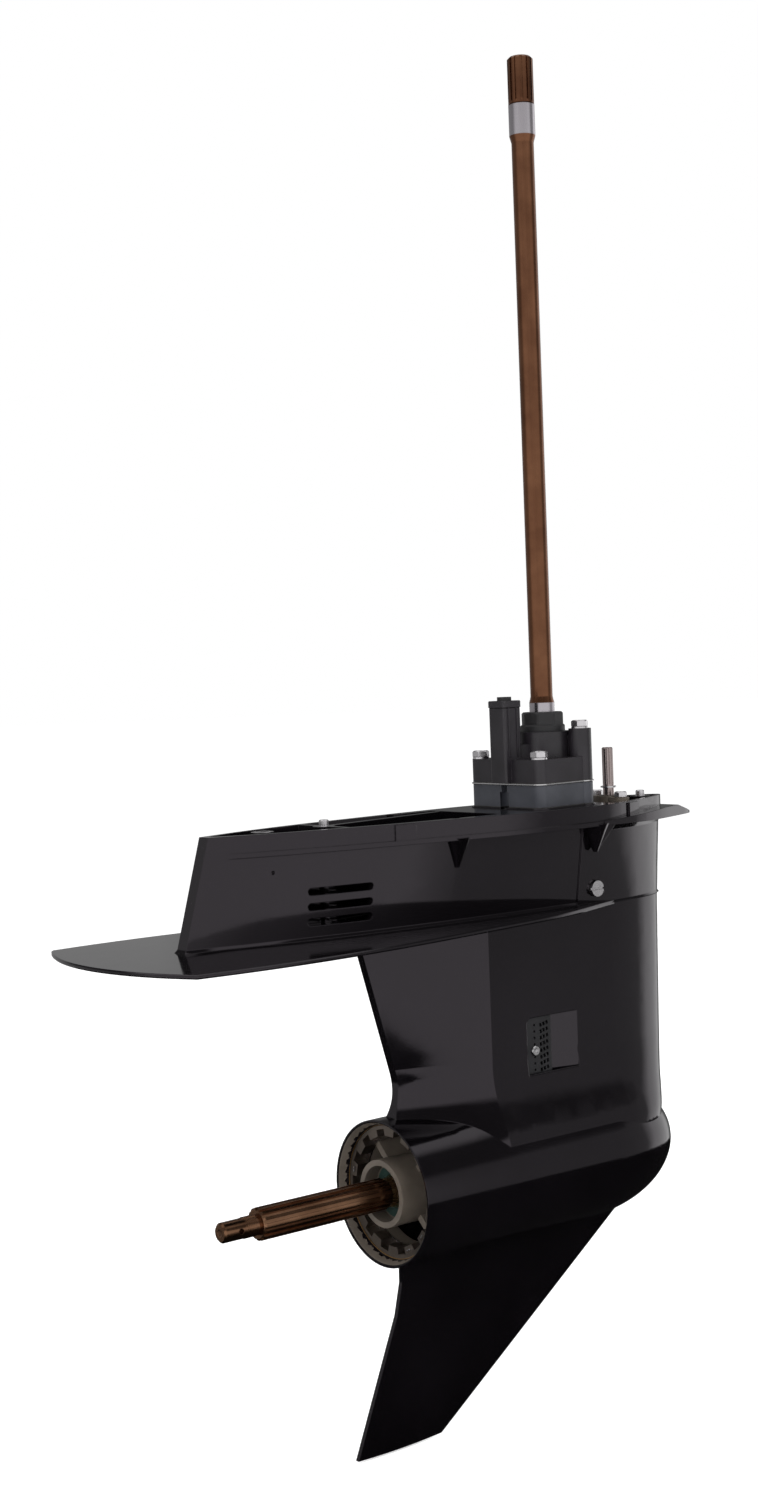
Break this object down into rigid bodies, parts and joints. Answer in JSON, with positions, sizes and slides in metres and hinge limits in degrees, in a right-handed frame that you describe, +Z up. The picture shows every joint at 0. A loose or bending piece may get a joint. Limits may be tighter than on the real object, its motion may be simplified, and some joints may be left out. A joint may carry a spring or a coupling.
{
  "type": "outboard lower unit",
  "caption": "Outboard motor lower unit: gearcase with skeg and anti-ventilation plate, bevel gears and dog clutch, propeller shaft, drive shaft, water pump and shift rod.",
  "frame": {"origin": "on the drive shaft's axis, in the deck face that bolts to the leg above", "axes": "+X to the bow, +Y to port, +Z up the drive shaft"},
  "size_m": [0.6429, 0.2152, 1.161],
  "materials": {
    "gloss_black": "gloss paint on cast aluminium",
    "pump_plastic": "satin moulded plastic",
    "base_plastic": "satin moulded plastic",
    "screen_plastic": "satin moulded plastic",
    "carrier_paint": "satin paint on cast aluminium",
    "nut_metal": "dull anodised",
    "stainless": "bright rolled",
    "bolt_steel": "bright",
    "shaft_steel": "ground, lightly toned",
    "prop_steel": "ground, toned",
    "gear_steel": "hardened",
    "bearing_steel": "ground",
    "bronze": "turned",
    "rubber": "moulded",
    "seal_rubber": "moulded",
    "gasket_fibre": "pressed sheet"
  },
  "bodies": {
    "gearcase": {"gearcase_housing": "gloss_black", "pump_housing": "pump_plastic", "pump_base": "base_plastic", "water_screen_starboard": "screen_plastic", "water_screen_port": "screen_plastic", "bearing_carrier": "carrier_paint", "shift_rod_retainer": "carrier_paint", "cover_nut": "nut_metal", "wear_plate": "stainless", "pump_liner": "stainless", "tab_washer": "stainless", "bearing_shims": "stainless", "pump_bolts": "bolt_steel", "pump_washers": "bolt_steel", "retainer_bolts": "bolt_steel", "screen_screw": "bolt_steel", "screen_nut": "bolt_steel", "oil_level_plug": "bolt_steel", "oil_drain_plug": "bolt_steel", "dowel_pins": "bolt_steel", "reverse_bearing": "bearing_steel", "forward_bearing": "bearing_steel", "pinion_bearing": "bearing_steel", "drive_shaft_bearing": "bearing_steel", "prop_shaft_bearing": "bearing_steel", "shaft_boot": "rubber", "water_tube_grommet": "rubber", "carrier_o_ring": "rubber", "drive_shaft_seals": "rubber", "shift_rod_seal": "rubber", "prop_shaft_seals": "seal_rubber", "base_gasket": "gasket_fibre", "plate_gasket": "gasket_fibre", "housing_gasket": "gasket_fibre", "plug_gaskets": "gasket_fibre"},
    "drive": {"drive_shaft": "shaft_steel", "pinion_gear": "gear_steel", "pinion_nut": "gear_steel", "impeller": "rubber", "impeller_key": "shaft_steel"},
    "forward_gear_body": {"forward_gear": "gear_steel", "forward_gear_bush": "bronze"},
    "reverse_gear_body": {"reverse_gear": "gear_steel", "reverse_gear_bush": "bronze"},
    "propeller_shaft": {"prop_shaft": "prop_steel"},
    "clutch": {"dog_clutch": "gear_steel", "clutch_pin": "gear_steel", "clutch_ring": "gear_steel", "shift_slider": "gear_steel"},
    "follower": {"shift_follower": "gear_steel"},
    "shifter": {"shift_rod": "shaft_steel", "circlip": "stainless", "shift_cam": "gear_steel"}
  },
  "joints": [
    {"name": "drive_spin", "type": "hinge", "parent": "gearcase", "child": "drive", "pos_m": [0, 0, 0], "axis": [0, 0, 1], "continuous": true},
    {"name": "forward_gear_spin", "type": "hinge", "parent": "gearcase", "child": "forward_gear_body", "pos_m": [0, 0, -0.305], "axis": [1, 0, 0], "continuous": true},
    {"name": "reverse_gear_spin", "type": "hinge", "parent": "gearcase", "child": "reverse_gear_body", "pos_m": [0, 0, -0.305], "axis": [1, 0, 0], "continuous": true},
    {"name": "prop_spin", "type": "hinge", "parent": "gearcase", "child": "propeller_shaft", "pos_m": [0, 0, -0.305], "axis": [1, 0, 0], "continuous": true},
    {"name": "shift_turn", "type": "hinge", "parent": "gearcase", "child": "shifter", "pos_m": [0.078, 0, 0], "axis": [0, 0, 1], "range_deg": [-35, 35]},
    {"name": "clutch_slide", "type": "slide", "parent": "propeller_shaft", "child": "clutch", "axis": [1, 0, 0], "range_m": [-0.006, 0.006]},
    {"name": "follower_slide", "type": "slide", "parent": "gearcase", "child": "follower", "axis": [1, 0, 0], "range_m": [-0.006, 0.006]}
  ],
  "couplings": [
    {"joint": "forward_gear_spin", "follows": "drive_spin", "ratio": -0.5},
    {"joint": "reverse_gear_spin", "follows": "drive_spin", "ratio": 0.5},
    {"joint": "clutch_slide", "follows": "follower_slide", "ratio": 1},
    {"joint": "shift_turn", "follows": "follower_slide", "rad_per_m": 101.81}
  ]
}
